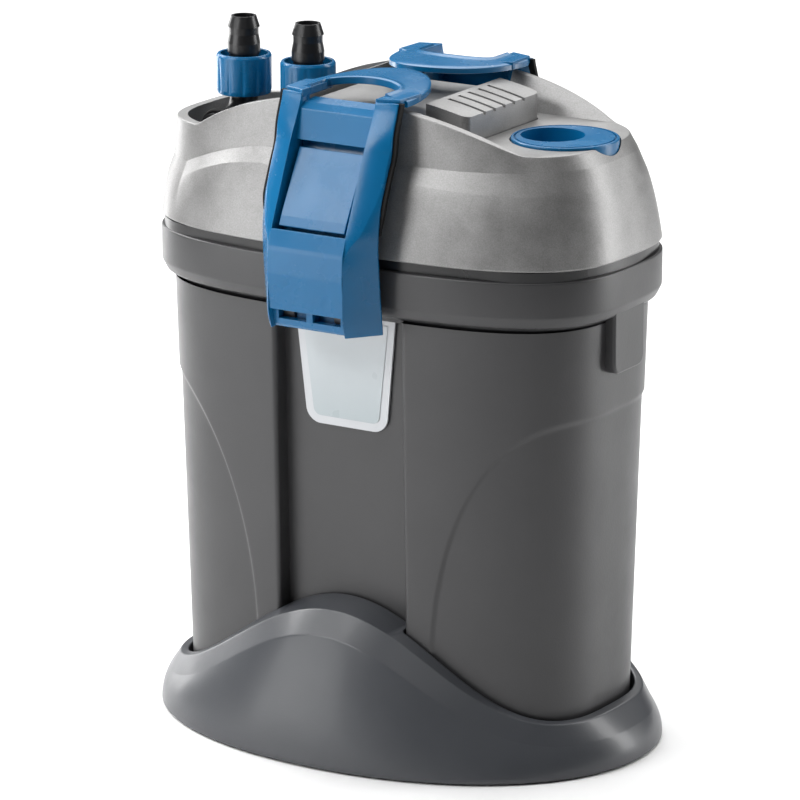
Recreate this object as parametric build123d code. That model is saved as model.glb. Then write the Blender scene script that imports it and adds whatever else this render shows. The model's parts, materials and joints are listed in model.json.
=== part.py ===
"""Canister filter for an aquarium: stand, canister, pump head, two latches, hose connectors.

Millimetres. +Z is up, the origin is the middle of the underside. The label faces -Y,
the hose connectors are at the -X end and the heater well cap is at the +X end.
"""
from build123d import *
from math import cos, pi, sqrt
import os

# ---- driving dimensions ------------------------------------------------------------
SECTION_FRONT_BOW = 3.77      # front arc radius over half length of a section
SECTION_END_BOW = 1.63        # end arc radius over half depth of a section
SECTION_CORNER = 0.58         # corner radius over half depth of a section
CLEAR = 0.4                   # free gap between parts that move past each other
RUNNING = 0.05                # radial clearance of a running fit

# stand
STAND_FOOT = (145.0, 106.0)   # half length and half depth where it meets the floor
STAND_BOTTOM = 1.0
STAND_SKIRT_SLOPE = (0.6, 0.277)   # how fast the skirt narrows, per mm of height
STAND_WAVE_LOW = 28.0
STAND_WAVE_RISE = 57.0
STAND_WAVE_SPAN = 260.0
STAND_WALL = 3.0
STAND_FLOOR = 12.0
STAND_RIM_GAP = 1.0
STAND_BEVEL_START = 71.0     # half depth where the bevelled rim begins
FOOT_PAD_SPOTS = ((-95, -52), (95, -52), (-95, 52), (95, 52))
FOOT_PAD_RADIUS = 8.0
FOOT_PAD_HEIGHT = 3.5
FOOT_SOCKET_WALL = 3.0
RIB_SPOTS = (-60, 0, 60)      # cross ribs under the stand's floor
RIB_HALF = 1.2
RIB_LOW = 3.0
RIB_REACH = (125.0, 86.0)

# canister
CANISTER_BOTTOM = STAND_FLOOR + 3.0
CANISTER_LOW = (123.9, 68.4)
CANISTER_HIGH = (130.0, 74.0)
COLLAR = (137.0, 79.0)
COLLAR_UNDER = 245.0
COLLAR_ROOT = (127.5, 71.5)    # the flare starts inside the wall
COLLAR_LOW = 251.0
COLLAR_TOP = 270.7
COLLAR_BORE = (129.0, 71.5)
WALL = 3.0
PANEL_HALF = 39.0             # half width of the recessed front and rear panels
PANEL_DEPTH = 10.0
PANEL_TOP = 246.0
TAB_HALF = 16.0
TAB_LOW = 214.0
TAB_FACE = 135.0
TAB_CORNER = 7.0

# label
LABEL_LOW = 178.0
LABEL_HIGH = 241.5
LABEL_HALF_LOW = 20.0
LABEL_HALF_HIGH = 31.0
LABEL_THICK = 1.2
LABEL_BORDER = 4.5

# head
BAND_TOP = 276.0
HEAD_BASE = (137.0, 78.0)
HEAD_BELLY = (135.7, 74.8)
HEAD_RIDGE = (131.0, 68.0)
HEAD_UPPER_RIDGE = (126.0, 63.0)
HEAD_RIM = (124.0, 61.0)
BELLY_HEIGHT = 296.0
RIDGE_HEIGHT = 312.5
UPPER_RIDGE_HEIGHT = 323.0
RIM_HEIGHT = 357.0
CROWN_TOP = 354.3
CROWN_RADIUS = 230.0
DECK_HEIGHT = 333.0           # floor of the channel between the two crowns
CHANNEL_HALF_LOW = 48.0
CHANNEL_HALF_HIGH = 58.0
POCKET_RIM = 322.0
POCKET_FLOOR = 300.0
POCKET_WALLS = (119.5, 56.5)
POCKET_END = -46.0            # the connector pocket runs from here to the -X end
NOTCH_HALF = 30.0             # half width of the slot that a latch hooks into
NOTCH_BACK = 64.0             # the slot is cut into the head to this half depth
LEDGE_HEIGHT = 342.0          # the latch hook bears on this ledge
SCREW_SPOTS = ((-72, -54), (72, -54), (-72, 54), (72, 54))
SCREW_RADIUS = 1.9

# latches
LATCH_HALF = 36.0
RAIL_INNER = 22.0
ARCH_BACK = -62.0             # the arched grip's plan is half an ellipse that starts here
ARCH_HALF = 37.0
ARCH_REACH = 58.0
HOLE_HALF = 22.5
ARCH_TOP = 361.5
ARCH_THICK = 3.7
ARCH_BOW = 171.0              # radius of the arch seen from the front
HINGE_Y = -90.0
HINGE_Z = 246.0
PIN_RADIUS = 2.0
PIN_HALF = 29.0               # half length of the pin, whose ends are blind in the rails
LUG_INNER = 12.0
LUG_OUTER = 19.0
LUG_RADIUS = 5.5
SLOT_X = (2.0, 19.0)          # finger slots low on the latch, one on each side
SLOT_Z = (243.0, 249.0)
PLATE_HALF = 20.0             # half width of the insert between the rails

# priming button
BUTTON_X = (-38.0, 58.0)
BUTTON_HALF = 38.0
BUTTON_SKIRT = 320.0
BUTTON_STEP_X = 33.0          # the top is lower on the -X side, to pass under the latches
BUTTON_STEP_HEIGHT = 346.0
BUTTON_WALL = 2.5
GROOVE_PITCH = 10.0
GROOVE_WIDTH = 2.6
PRIMER_X = 10.0
PRIMER_BORE = 17.65
PRIMER_WALL = 2.5
PRIMER_LOW = 280.0
PRIMER_TOP = 314.0
PRIMER_INLET = 4.0
STEM_RADIUS = 5.0
PISTON = (300.0, 307.0)       # underside and top of the piston at rest
PISTON_GROOVE = (302.4, 304.6)
SPRING_TURNS = 6
SPRING_RADIUS = 8.2
SPRING_WIRE = 0.8
SPRING_PLAY = 0.9             # from the spring's wire centre to the face it bears on

# heater well
WELL_X = 95.0
CAP_RADIUS = 28.6
CAP_SEAT_RADIUS = 29.2
CAP_TOP = 334.5
CAP_LOW = 318.0
SEAT_FLOOR = 315.8
BOWL_RADIUS = 17.0
BOWL_OFFSET = -7.5
WELL_RADIUS = 13.0
WELL_WALL = 2.0
WELL_GAP = 0.2                # the well pipe in its holes
WELL_BOTTOM = 60.0

# hose connectors
CONNECTOR_X = {"inlet": -105.0, "outlet": -64.0}
NUT_RADIUS = 15.0
NUT_LOW = 337.0
NUT_TOP = 357.5
TAIL_TOP = 378.0
TAIL_RADIUS = 8.0
TAIL_LAND = (358.0, 363.0)    # the widest step, just above the nut
LAND_RADIUS = 8.9
NUT_FLUTES = 18
ELBOW_RADIUS = 7.5
ELBOW_WALL = 2.2
ELBOW_BEND = 14.0
ELBOW_HEIGHT = 322.0
ELBOW_REACH = -31.0
FLANGE_RADIUS = 12.6          # flange of the hose tail, held by the nut
UNION_SEAT = NUT_LOW + 7
TAIL_BORE = 5.6
SEAL_PLACE = -27.5
SEAL_WIRE = 0.9

# pump
PUMP_X = -45.0
IMPELLER_RADIUS = 21.0
SHAFT_RADIUS = 1.5
ROTOR_RADIUS = 11.5
PLUG = (126.0, 68.5)          # the part of the head that goes down into the collar
PLUG_HOLLOW = (122.0, 64.5)
PLUG_LOW = 256.0
CHASSIS_PLATE = (136.0, 77.0)
CHASSIS_DECK = 268.0
CHASSIS_HOLES = (260.0, 280.0)     # every hole through the chassis is cut between these
SEAL_GROOVE = (261.5, 266.5)
GLAND_X = -80.0
GLAND_Z = 290.0
GLAND_RADIUS = 6.0
MOTOR_TOP = 295.0
SHAFT = (249.0, 290.0)
BUSH_RADIUS = 3.5
MAGNET = (264.0, 285.0)
VANES = (253.0, 264.0)
VANE_COUNT = 6
VOLUTE_LOW = 250.0
VOLUTE_WALL = 3.0
SPIGOT_Y = -40.0
SPIGOT_Z = 259.0
SPIGOT_BORE = 6.0

# media baskets
BASKET = (116.0, 51.0)
BASKET_X = (-84.0, 74.0)
BASKET_LOWS = {"lower": 22.0, "middle": 93.0, "upper": 164.0}
BASKET_HEIGHT = 70.0
BASKET_FLOOR = 2.5
BASKET_WALL = 2.2
SLOT_COUNT = 9                # water slots along each side of a basket or screen
SLOT_PITCH = 16.0
SCREEN = (235.0, 238.0)
RING = (9.5, 5.5, 24.0)       # outer radius, bore radius and length of a ceramic ring
RING_LAYER = 26.0
RISER_SPOT = (-100.0, -32.0)
RISER_RADIUS = 9.0
RISER_WALL = 2.0


# ---- section and solid helpers -----------------------------------------------------
def oval(size, height, grow=0.0):
    """Section of the housing: four shallow arcs with rounded corners, at a height."""
    half_x = size[0] + grow
    half_y = size[1] + grow
    bow = SECTION_FRONT_BOW * half_x
    end = SECTION_END_BOW * half_y
    # the corner is where the front circle and the end circle cross
    gap = Vector(half_x - end, bow - half_y)
    reach = (bow ** 2 - end ** 2 + gap.length ** 2) / (2 * gap.length)
    rise = sqrt(bow ** 2 - reach ** 2)
    lead = gap.normalized()
    x = lead.X * reach + lead.Y * rise
    y = half_y - bow + lead.Y * reach - lead.X * rise
    front = ThreePointArc((-x, -y), (0, -half_y), (x, -y))
    right = ThreePointArc((x, -y), (half_x, 0), (x, y))
    rear = ThreePointArc((x, y), (0, half_y), (-x, y))
    left = ThreePointArc((-x, y), (-half_x, 0), (-x, -y))
    outline = front + right + rear + left
    face = make_face(outline)
    face = fillet(face.vertices(), SECTION_CORNER * half_y)
    return Pos(0, 0, height) * face


def tower(*levels, grow=0.0, ruled=True):
    """Solid through oval sections, each level a pair of size and height."""
    return loft([oval(size, height, grow) for size, height in levels], ruled=ruled)


def block(x, y, z):
    """Box between the two limits given for each direction."""
    size = Box(x[1] - x[0], y[1] - y[0], z[1] - z[0])
    return Pos((x[0] + x[1]) / 2, (y[0] + y[1]) / 2, (z[0] + z[1]) / 2) * size


def post(radius, low, high, x=0.0, y=0.0):
    """Upright cylinder between two heights."""
    return Pos(x, y, (low + high) / 2) * Cylinder(radius, high - low)


def tube(outer, inner, low, high, x=0.0, y=0.0):
    """Upright tube between two heights."""
    return post(outer, low, high, x, y) - post(inner, low - 1, high + 1, x, y)


def lying(radius, start, stop, x, z):
    """Cylinder along Y between two places."""
    rod = Rot(90, 0, 0) * Cylinder(radius, stop - start)
    return Pos(x, (start + stop) / 2, z) * rod


def side_plate(points, x_low, x_high):
    """Plate of a Y-Z outline, between two places along X."""
    face = make_face(Plane.YZ * Polyline(*points, close=True))
    return Pos(x_low, 0, 0) * extrude(face, amount=x_high - x_low, dir=(1, 0, 0))


def front_plate(points, y_low, y_high):
    """Plate of an X-Z outline, between two places along Y."""
    face = make_face(Polyline(*[(x, y_low, z) for x, z in points], close=True))
    return extrude(face, amount=y_high - y_low, dir=(0, 1, 0))


def both_sides(shape):
    """The shape with its mirror image across the X-Z plane."""
    return shape + mirror(shape, about=Plane.XZ)


def along(low, high, height):
    """Half depth of a tapered wall at a height, between its two end levels."""
    share = (height - low[1]) / (high[1] - low[1])
    return low[0] + share * (high[0] - low[0])


# ---- stand -------------------------------------------------------------------------
def stand_wave(x):
    """Height of the stand's rim at a place along its length."""
    return STAND_WAVE_LOW + STAND_WAVE_RISE * cos(pi * x / STAND_WAVE_SPAN) ** 2


def under_wave(drop):
    """Everything under the wave, lowered by a distance, with its bevelled front and rear."""
    half = STAND_WAVE_SPAN / 2
    reach = 2 * half
    edge = STAND_BEVEL_START
    crest = [(half * i / 6, -edge, stand_wave(half * i / 6) - drop) for i in range(-6, 7)]
    wave = Spline(*crest, tangents=[(1, 0, 0), (1, 0, 0)])
    low = crest[0][2]
    rest = Polyline((half, -edge, low), (reach, -edge, low), (reach, -edge, -50), (-reach, -edge, -50),
                    (-reach, -edge, low), (-half, -edge, low))
    face = make_face(wave + rest)
    middle = extrude(face, amount=2 * edge, dir=(0, 1, 0))
    return middle + both_sides(extrude(face, amount=60, dir=(0, -17, -19)))


def skirt(grow, low):
    """Cone of the stand's outer face."""
    top = 88.0
    sections = []
    for height in (low, top):
        fall = height - STAND_BOTTOM
        half_x = STAND_FOOT[0] - STAND_SKIRT_SLOPE[0] * fall + grow
        half_y = STAND_FOOT[1] - STAND_SKIRT_SLOPE[1] * fall + grow
        sections.append(Pos(0, 0, height) * Ellipse(half_x, half_y))
    return loft(sections)


def cup(grow, low, top=COLLAR_UNDER):
    """Space that the canister takes between two heights, with its recessed panels."""
    body = tower((CANISTER_LOW, low), (CANISTER_HIGH, top), grow=grow)
    depth_low = CANISTER_LOW[1] - PANEL_DEPTH + grow
    depth_high = CANISTER_HIGH[1] - PANEL_DEPTH + grow
    outline = [(-depth_low, low - 1), (-depth_high, PANEL_TOP), (-99, PANEL_TOP), (-99, low - 1)]
    panel = side_plate(outline, grow - PANEL_HALF, PANEL_HALF - grow)
    return body - both_sides(panel)


def base_stand():
    body = skirt(0, STAND_BOTTOM) & under_wave(0)
    hollow = skirt(-STAND_WALL, 0) & under_wave(STAND_WALL + 1.5)
    hollow = hollow - cup(STAND_RIM_GAP + STAND_WALL, STAND_FLOOR)
    body = body - hollow - cup(STAND_RIM_GAP, CANISTER_BOTTOM)
    rib_span = (RIB_LOW, STAND_FLOOR + 1)
    for x in RIB_SPOTS:
        body = body + block((x - RIB_HALF, x + RIB_HALF), (-RIB_REACH[1], RIB_REACH[1]), rib_span)
    body = body + block((-RIB_REACH[0], RIB_REACH[0]), (-RIB_HALF, RIB_HALF), rib_span)
    for x, y in FOOT_PAD_SPOTS:
        body = body + post(FOOT_PAD_RADIUS + FOOT_SOCKET_WALL, STAND_BOTTOM, STAND_FLOOR + 1, x, y)
        body = body - post(FOOT_PAD_RADIUS + 0.1, 0, FOOT_PAD_HEIGHT, x, y)
    return body


def rubber_feet():
    feet = [post(FOOT_PAD_RADIUS, 0, FOOT_PAD_HEIGHT, x, y) for x, y in FOOT_PAD_SPOTS]
    feet = [chamfer(f.edges().group_by(Axis.Z)[0], 0.8) for f in feet]
    return Compound(children=feet)


# ---- canister and label ------------------------------------------------------------
def hinge_lugs():
    """Two ears on the front of the collar that hold the latch pin, and their bores."""
    ears = None
    for x in (LUG_INNER, -LUG_OUTER):
        width = LUG_OUTER - LUG_INNER
        boss = Rot(0, 90, 0) * Cylinder(LUG_RADIUS, width)
        boss = Pos(x + width / 2, HINGE_Y, HINGE_Z) * boss
        root = side_plate([(HINGE_Y, HINGE_Z + LUG_RADIUS), (-76, 262), (-76, 252),
                           (HINGE_Y, HINGE_Z - LUG_RADIUS)], x, x + width)
        ear = boss + root
        ears = ear if ears is None else ears + ear
    bore = Rot(0, 90, 0) * Cylinder(PIN_RADIUS + RUNNING, 60)
    return ears - Pos(0, HINGE_Y, HINGE_Z) * bore


def canister():
    outer = cup(0, CANISTER_BOTTOM)
    collar = tower((COLLAR_ROOT, COLLAR_UNDER - 3), (COLLAR, COLLAR_LOW), (COLLAR, COLLAR_TOP))
    tab = block((110, TAB_FACE), (-TAB_HALF, TAB_HALF), (TAB_LOW, COLLAR_LOW + 4))
    tab = fillet(tab.edges().filter_by(Axis.X).group_by(Axis.Z)[0], TAB_CORNER)
    outer = outer + collar + tab
    inner = cup(-WALL, CANISTER_BOTTOM + WALL, PANEL_TOP + 2)
    mouth = tower((COLLAR_BORE, PANEL_TOP), (COLLAR_BORE, COLLAR_TOP + 1))
    return outer - inner - mouth + both_sides(hinge_lugs())


def label_slab(lift, thick):
    """Thin slab that lies on the recessed front panel."""
    low = CANISTER_LOW[1] - PANEL_DEPTH
    high = CANISTER_HIGH[1] - PANEL_DEPTH
    wall = ((low, CANISTER_BOTTOM - 1), (high, PANEL_TOP))
    face = [(-along(*wall, z) - lift, z) for z in (160, 244)]
    (y_low, z_low), (y_high, z_high) = face
    outline = [face[0], face[1], (y_high - thick, z_high), (y_low - thick, z_low)]
    return side_plate(outline, -PANEL_HALF, PANEL_HALF)


def label_shape(inset):
    """Trapezoid with rounded lower corners, seen from the front."""
    low = LABEL_LOW + inset
    high = LABEL_HIGH - inset
    half_low = LABEL_HALF_LOW + LABEL_BORDER - inset
    half_high = LABEL_HALF_HIGH - inset
    shape = front_plate([(-half_low, low), (half_low, low), (half_high, high), (-half_high, high)], -80, -50)
    return fillet(shape.edges().filter_by(Axis.Y).group_by(Axis.Z)[0], 9 - inset)


def label_plate():
    return label_slab(0, LABEL_THICK) & label_shape(0)


def label_inlay():
    return label_slab(LABEL_THICK, 0.4) & label_shape(LABEL_BORDER)


# ---- head --------------------------------------------------------------------------
def crown(drop):
    """Everything under the head's arched top, lowered by a distance."""
    arch = Rot(90, 0, 0) * Cylinder(CROWN_RADIUS - drop, 260)
    arch = Pos(0, 0, CROWN_TOP - CROWN_RADIUS) * arch
    deck = block((80, 150), (-90, 90), (250, DECK_HEIGHT - drop))
    end = block((-150, -100), (-90, 90), (250, POCKET_RIM - drop))
    return arch + deck + end


def head_outer(grow):
    lower = tower((HEAD_BASE, BAND_TOP), (HEAD_BELLY, BELLY_HEIGHT), (HEAD_RIDGE, RIDGE_HEIGHT),
                  grow=grow, ruled=False)
    upper = tower((HEAD_RIDGE, RIDGE_HEIGHT), (HEAD_UPPER_RIDGE, UPPER_RIDGE_HEIGHT),
                  (HEAD_RIM, RIM_HEIGHT), grow=grow)
    return lower + upper


def channel(grow, floor):
    """Trough between the two crowns, open at the +X end."""
    low = CHANNEL_HALF_LOW + grow
    high = CHANNEL_HALF_HIGH + grow
    outline = [(-low, floor), (low, floor), (high, CROWN_TOP + 2), (-high, CROWN_TOP + 2)]
    return side_plate(outline, POCKET_END + 2 - grow, 150)


def pocket(grow):
    """Open space at the -X end for the hose elbows."""
    walls = tower((POCKET_WALLS, POCKET_FLOOR - grow), (POCKET_WALLS, RIM_HEIGHT + 4), grow=grow)
    return walls & block((-150, POCKET_END + grow), (-90, 90), (POCKET_FLOOR - grow, RIM_HEIGHT + 4))


def notch(grow):
    """Slot in the front crown where the latch lies."""
    outline = [(-99, RIDGE_HEIGHT - grow), (grow - NOTCH_BACK, RIDGE_HEIGHT - grow),
               (grow - NOTCH_BACK + 7, 335), (grow - NOTCH_BACK + 12, 360), (-99, 360)]
    ledge = block((-NOTCH_HALF - grow, NOTCH_HALF + grow), (-66, -44), (LEDGE_HEIGHT - grow, 360))
    return side_plate(outline, -NOTCH_HALF - grow, NOTCH_HALF + grow) + ledge


def button_opening(gap, low):
    half = BUTTON_HALF + gap
    shape = block((BUTTON_X[0] - gap, BUTTON_X[1] + gap), (-half, half), (low, 365))
    return fillet(shape.edges().filter_by(Axis.Z), 5 + gap)


def head_cover():
    outer = head_outer(0) & crown(0)
    inner = head_outer(-WALL) & crown(WALL)
    inner = inner - channel(WALL, DECK_HEIGHT - WALL) - pocket(WALL) - both_sides(notch(WALL))
    inner = inner - post(CAP_SEAT_RADIUS + 2.5, SEAT_FLOOR - 2.5, 360, WELL_X)
    for x, y in SCREW_SPOTS:
        side = 1 if y > 0 else -1
        inner = inner - post(5, 270, 292, x, y)
        inner = inner - block((x - 1.5, x + 1.5), (min(y, y + 22 * side), max(y, y + 22 * side)), (270, 292))
    cover = outer - inner - channel(0, DECK_HEIGHT) - pocket(0) - both_sides(notch(0))
    cover = cover - button_opening(0.8, DECK_HEIGHT - 8)
    cover = cover - post(CAP_SEAT_RADIUS, SEAT_FLOOR, 360, WELL_X)
    cover = cover - post(WELL_RADIUS + WELL_GAP, 300, 360, WELL_X)
    cover = cover - lying(GLAND_RADIUS, 60, 90, GLAND_X, GLAND_Z)
    for x, y in SCREW_SPOTS:
        cover = cover - post(SCREW_RADIUS, 270, 288, x, y)
    return cover


def head_chassis():
    plate = tower((CHASSIS_PLATE, COLLAR_TOP), (CHASSIS_PLATE, BAND_TOP))
    plug = tower((PLUG, PLUG_LOW), (PLUG, COLLAR_TOP))
    plug = plug - tower((PLUG_HOLLOW, PLUG_LOW - 1), (PLUG_HOLLOW, CHASSIS_DECK))
    low, high = SEAL_GROOVE
    core = tower((PLUG, low - 0.5), (PLUG, high + 0.5), grow=-1.5)
    groove = tower((PLUG, low), (PLUG, high), grow=4) - core
    chassis = plate + plug - groove
    chassis = chassis + post(ROTOR_RADIUS + 2.5, CHASSIS_DECK, 294, PUMP_X)
    chassis = chassis - post(ROTOR_RADIUS + 1, CHASSIS_DECK - 1, 292, PUMP_X)
    chassis = chassis - post(WELL_RADIUS + WELL_GAP, *CHASSIS_HOLES, WELL_X)
    chassis = chassis - post(RISER_RADIUS - RISER_WALL, *CHASSIS_HOLES, *RISER_SPOT)
    chassis = chassis - post(SPIGOT_BORE, *CHASSIS_HOLES, CONNECTOR_X["outlet"], SPIGOT_Y)
    for x, y in SCREW_SPOTS:
        chassis = chassis - post(SCREW_RADIUS + 0.2, *CHASSIS_HOLES, x, y)
    return chassis


def rim_gasket():
    ring = tower((PLUG, 262.0), (PLUG, 266.0), grow=2.9)
    return ring - tower((PLUG, 261.0), (PLUG, 267.0), grow=-1.4)


def cover_screws():
    screws = []
    for x, y in SCREW_SPOTS:
        screw = post(1.85, CHASSIS_DECK - 1, 286, x, y) + post(3.6, CHASSIS_DECK - 2.6, CHASSIS_DECK, x, y)
        screw = screw - block((x - 2.6, x + 2.6), (y - 0.5, y + 0.5), (CHASSIS_DECK - 3, CHASSIS_DECK - 1.6))
        screw = screw - block((x - 0.5, x + 0.5), (y - 2.6, y + 2.6), (CHASSIS_DECK - 3, CHASSIS_DECK - 1.6))
        screws.append(screw)
    return Compound(children=screws)


def cable_gland():
    body = lying(GLAND_RADIUS - 0.1, 68, 76, GLAND_X, GLAND_Z)
    body = body + lying(GLAND_RADIUS + 2, 75, 81, GLAND_X, GLAND_Z)
    sleeve = Pos(GLAND_X, 85, GLAND_Z) * (Rot(-90, 0, 0) * Cone(5.5, 4.2, 8))
    return body + sleeve - lying(3.4, 60, 95, GLAND_X, GLAND_Z)


# ---- latches -----------------------------------------------------------------------
RAIL_FRONT = [(-101, 238), (-104, 243), (-104.5, 277), (-101, 291), (-82, 335), (-72, 351), (-66, 354)]
RAIL_REAR = [(-61, 354), (-66, 348), (-72, 338), (-77, 326), (-85, 310), (-88.5, 297), (-90, 283),
             (-86, 265), (-84, 250), (-84, 240), (-87, 237.5)]


def cheek():
    """Corner cut from the lower outer edge of the right-hand rail."""
    wedge = make_face(Polyline((22.5, -107), (40, -107), (40, -84), close=True))
    tip = make_face(Polyline((35.5, -107), (40, -107), (40, -100), close=True))
    return extrude(Pos(0, 0, 230) * wedge, amount=43, dir=(0, 0, 1)) + loft([Pos(0, 0, 273) * wedge,
                                                                        Pos(0, 0, 292) * tip])


def arch_blade():
    """Arched finger grip that reaches over the top of the head."""
    outer = Pos(0, ARCH_BACK) * Ellipse(ARCH_HALF, ARCH_REACH) & Pos(0, -33) * Rectangle(80, 70)
    hole = Pos(0, ARCH_BACK) * Rectangle(2 * HOLE_HALF, 24) + Pos(0, ARCH_BACK + 12) * Ellipse(HOLE_HALF, 13)
    plan = Pos(0, 0, 330) * (outer - hole)
    top = Pos(0, -45, ARCH_TOP - ARCH_BOW) * (Rot(90, 0, 0) * Cylinder(ARCH_BOW, 100))
    under = Pos(0, -45, ARCH_TOP - ARCH_THICK - ARCH_BOW) * (Rot(90, 0, 0) * Cylinder(ARCH_BOW, 102))
    return extrude(plan, amount=60, dir=(0, 0, 1)) & (top - under)


def latch_frame():
    rail = side_plate(RAIL_FRONT + RAIL_REAR, RAIL_INNER, LATCH_HALF) - cheek()
    frame = rail + mirror(rail, about=Plane.YZ)
    reach = RAIL_INNER + 1
    upper = side_plate([(-77, 334), (-72.5, 349.5), (-60, 350.5), (-60, 347.5), (-69, 346.5), (-73.5, 334)],
                       -reach, reach)
    hook = side_plate([(-70, 347), (-62, 348), (-62, 345.5), (-56, 345.5), (-56, 342.6), (-66, 342.6)],
                      -PLATE_HALF, PLATE_HALF)
    lower = side_plate([(-101, 288.5), (-104.6, 275), (-100, 238), (-97, 238), (-101.4, 275), (-98, 288.5)],
                       -reach, reach)
    slot = block(SLOT_X, (-110, -90), SLOT_Z)
    lower = lower - slot - mirror(slot, about=Plane.YZ)
    frame = frame + upper + hook + lower + arch_blade()
    pin_hole = Pos(0, HINGE_Y, HINGE_Z) * (Rot(0, 90, 0) * Cylinder(PIN_RADIUS, 2 * PIN_HALF + 1))
    return frame - pin_hole


def latch_plate():
    """Insert between the rails, with a dark gap above and below it."""
    face = side_plate([(-77.2, 330.5), (-97.8, 292.5), (-95, 291), (-74.5, 329)], -PLATE_HALF, PLATE_HALF)
    rib = side_plate([(-80.5, 322), (-93.5, 298), (-91, 296.5), (-78, 320.5)], -RAIL_INNER, RAIL_INNER)
    return face + rib


def latch_pin():
    return Pos(0, HINGE_Y, HINGE_Z) * (Rot(0, 90, 0) * Cylinder(PIN_RADIUS, 2 * PIN_HALF))


# ---- priming pump ------------------------------------------------------------------
def button_solid(inset):
    """Outer or inner form of the button, inset by the wall thickness."""
    body = block((BUTTON_X[0] + inset, BUTTON_X[1] - inset), (inset - BUTTON_HALF, BUTTON_HALF - inset),
                 (BUTTON_SKIRT - inset, 365))
    body = fillet(body.edges().filter_by(Axis.Z), 5 - inset)
    body = body & crown(inset)
    step = block((-60, BUTTON_STEP_X + inset), (-60, 60), (BUTTON_STEP_HEIGHT - inset, 365))
    return body - step


def priming_button():
    body = button_solid(0) - button_solid(BUTTON_WALL)
    for i in range(-2, 3):
        y = GROOVE_PITCH * i
        groove = block((BUTTON_STEP_X + 3, 70), (y - GROOVE_WIDTH / 2, y + GROOVE_WIDTH / 2), (0, 400))
        body = body - (groove & crown(0) - crown(1.6))
    return body


def priming_cylinder():
    outer = PRIMER_BORE + PRIMER_WALL
    neck = PRIMER_TOP - 2
    body = tube(outer, PRIMER_BORE, PRIMER_LOW, neck, PRIMER_X)
    body = body + tube(outer, STEM_RADIUS + CLEAR, neck, PRIMER_TOP, PRIMER_X)
    foot = post(PRIMER_BORE + 6, BAND_TOP, PRIMER_LOW, PRIMER_X) - post(PRIMER_INLET, 270, 285, PRIMER_X)
    return body + foot


def priming_piston():
    disc = post(PRIMER_BORE - RUNNING, *PISTON, PRIMER_X)
    disc = disc - tube(30, PRIMER_BORE - 2, *PISTON_GROOVE, PRIMER_X)
    return disc + post(STEM_RADIUS, PISTON[1] - 1, BUTTON_STEP_HEIGHT - BUTTON_WALL, PRIMER_X)


def piston_seal():
    return tube(PRIMER_BORE - RUNNING, PRIMER_BORE - 2, *PISTON_GROOVE, PRIMER_X)


def priming_spring():
    length = BUTTON_STEP_HEIGHT - BUTTON_WALL - PRIMER_TOP - 2 * SPRING_PLAY
    path = Helix(pitch=length / SPRING_TURNS, height=length, radius=SPRING_RADIUS)
    wire = Plane(origin=path @ 0, z_dir=path % 0) * Circle(SPRING_WIRE)
    return Pos(PRIMER_X, 0, PRIMER_TOP + SPRING_PLAY) * sweep(wire, path=path, is_frenet=True)


# ---- heater well -------------------------------------------------------------------
def heater_well_cap():
    cap = post(CAP_RADIUS, CAP_LOW, CAP_TOP, WELL_X)
    cap = fillet(cap.edges().group_by(Axis.Z)[-1], 0.8)
    cap = cap - post(CAP_RADIUS - 2.5, CAP_LOW - 1, CAP_TOP - 4, WELL_X)
    cap = cap + post(BOWL_RADIUS + 2, CAP_LOW + 1, CAP_TOP - 2, WELL_X + BOWL_OFFSET)
    cap = cap - (tube(CAP_RADIUS - 1.5, CAP_RADIUS - 2.6, CAP_TOP - 1, CAP_TOP + 1, WELL_X))
    return cap - post(BOWL_RADIUS, CAP_LOW + 3, CAP_TOP + 1, WELL_X + BOWL_OFFSET)


def cap_seal():
    return Pos(WELL_X, 0, CAP_LOW - 0.9) * Torus(CAP_RADIUS - 1.6, 0.9)


def heater_well():
    well = tube(WELL_RADIUS, WELL_RADIUS - WELL_WALL, WELL_BOTTOM, SEAT_FLOOR, WELL_X)
    return well + post(WELL_RADIUS, WELL_BOTTOM - WELL_WALL, WELL_BOTTOM, WELL_X)


# ---- hose connectors ---------------------------------------------------------------
def connector_block():
    """Sockets for the two elbows, by the front wall of the pocket."""
    body = block((-118, -50), (ELBOW_REACH - 9, -24), (POCKET_FLOOR, ELBOW_HEIGHT + 11))
    body = body & pocket(-0.2) & crown(3)
    for x in CONNECTOR_X.values():
        body = body - lying(ELBOW_RADIUS + 0.1, ELBOW_REACH, -20, x, ELBOW_HEIGHT)
        body = body - lying(ELBOW_RADIUS + 2, SEAL_PLACE - 1.1, SEAL_PLACE + 1.1, x, ELBOW_HEIGHT)
        body = body - post(5, 290, ELBOW_HEIGHT, x, ELBOW_REACH - 0.5)
    return body


def elbow(x):
    """Bent pipe: down from the union, then along -Y into its socket."""
    turn = ELBOW_BEND * (1 - sqrt(0.5))
    bend_top = (x, 0, ELBOW_HEIGHT + ELBOW_BEND)
    bend_end = (x, -ELBOW_BEND, ELBOW_HEIGHT)
    path = (Line((x, 0, UNION_SEAT), bend_top)
            + ThreePointArc(bend_top, (x, -turn, ELBOW_HEIGHT + turn), bend_end)
            + Line(bend_end, (x, ELBOW_REACH, ELBOW_HEIGHT)))
    start = Plane(origin=(x, 0, UNION_SEAT), z_dir=(0, 0, -1))
    bore = ELBOW_RADIUS - ELBOW_WALL
    outer = sweep(start * Circle(ELBOW_RADIUS), path=path)
    inner = sweep(start * Circle(bore), path=path)
    collar = post(FLANGE_RADIUS + 0.2, NUT_LOW + 1, UNION_SEAT, x) - post(bore, 330, 350, x)
    return outer - inner + collar


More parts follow.
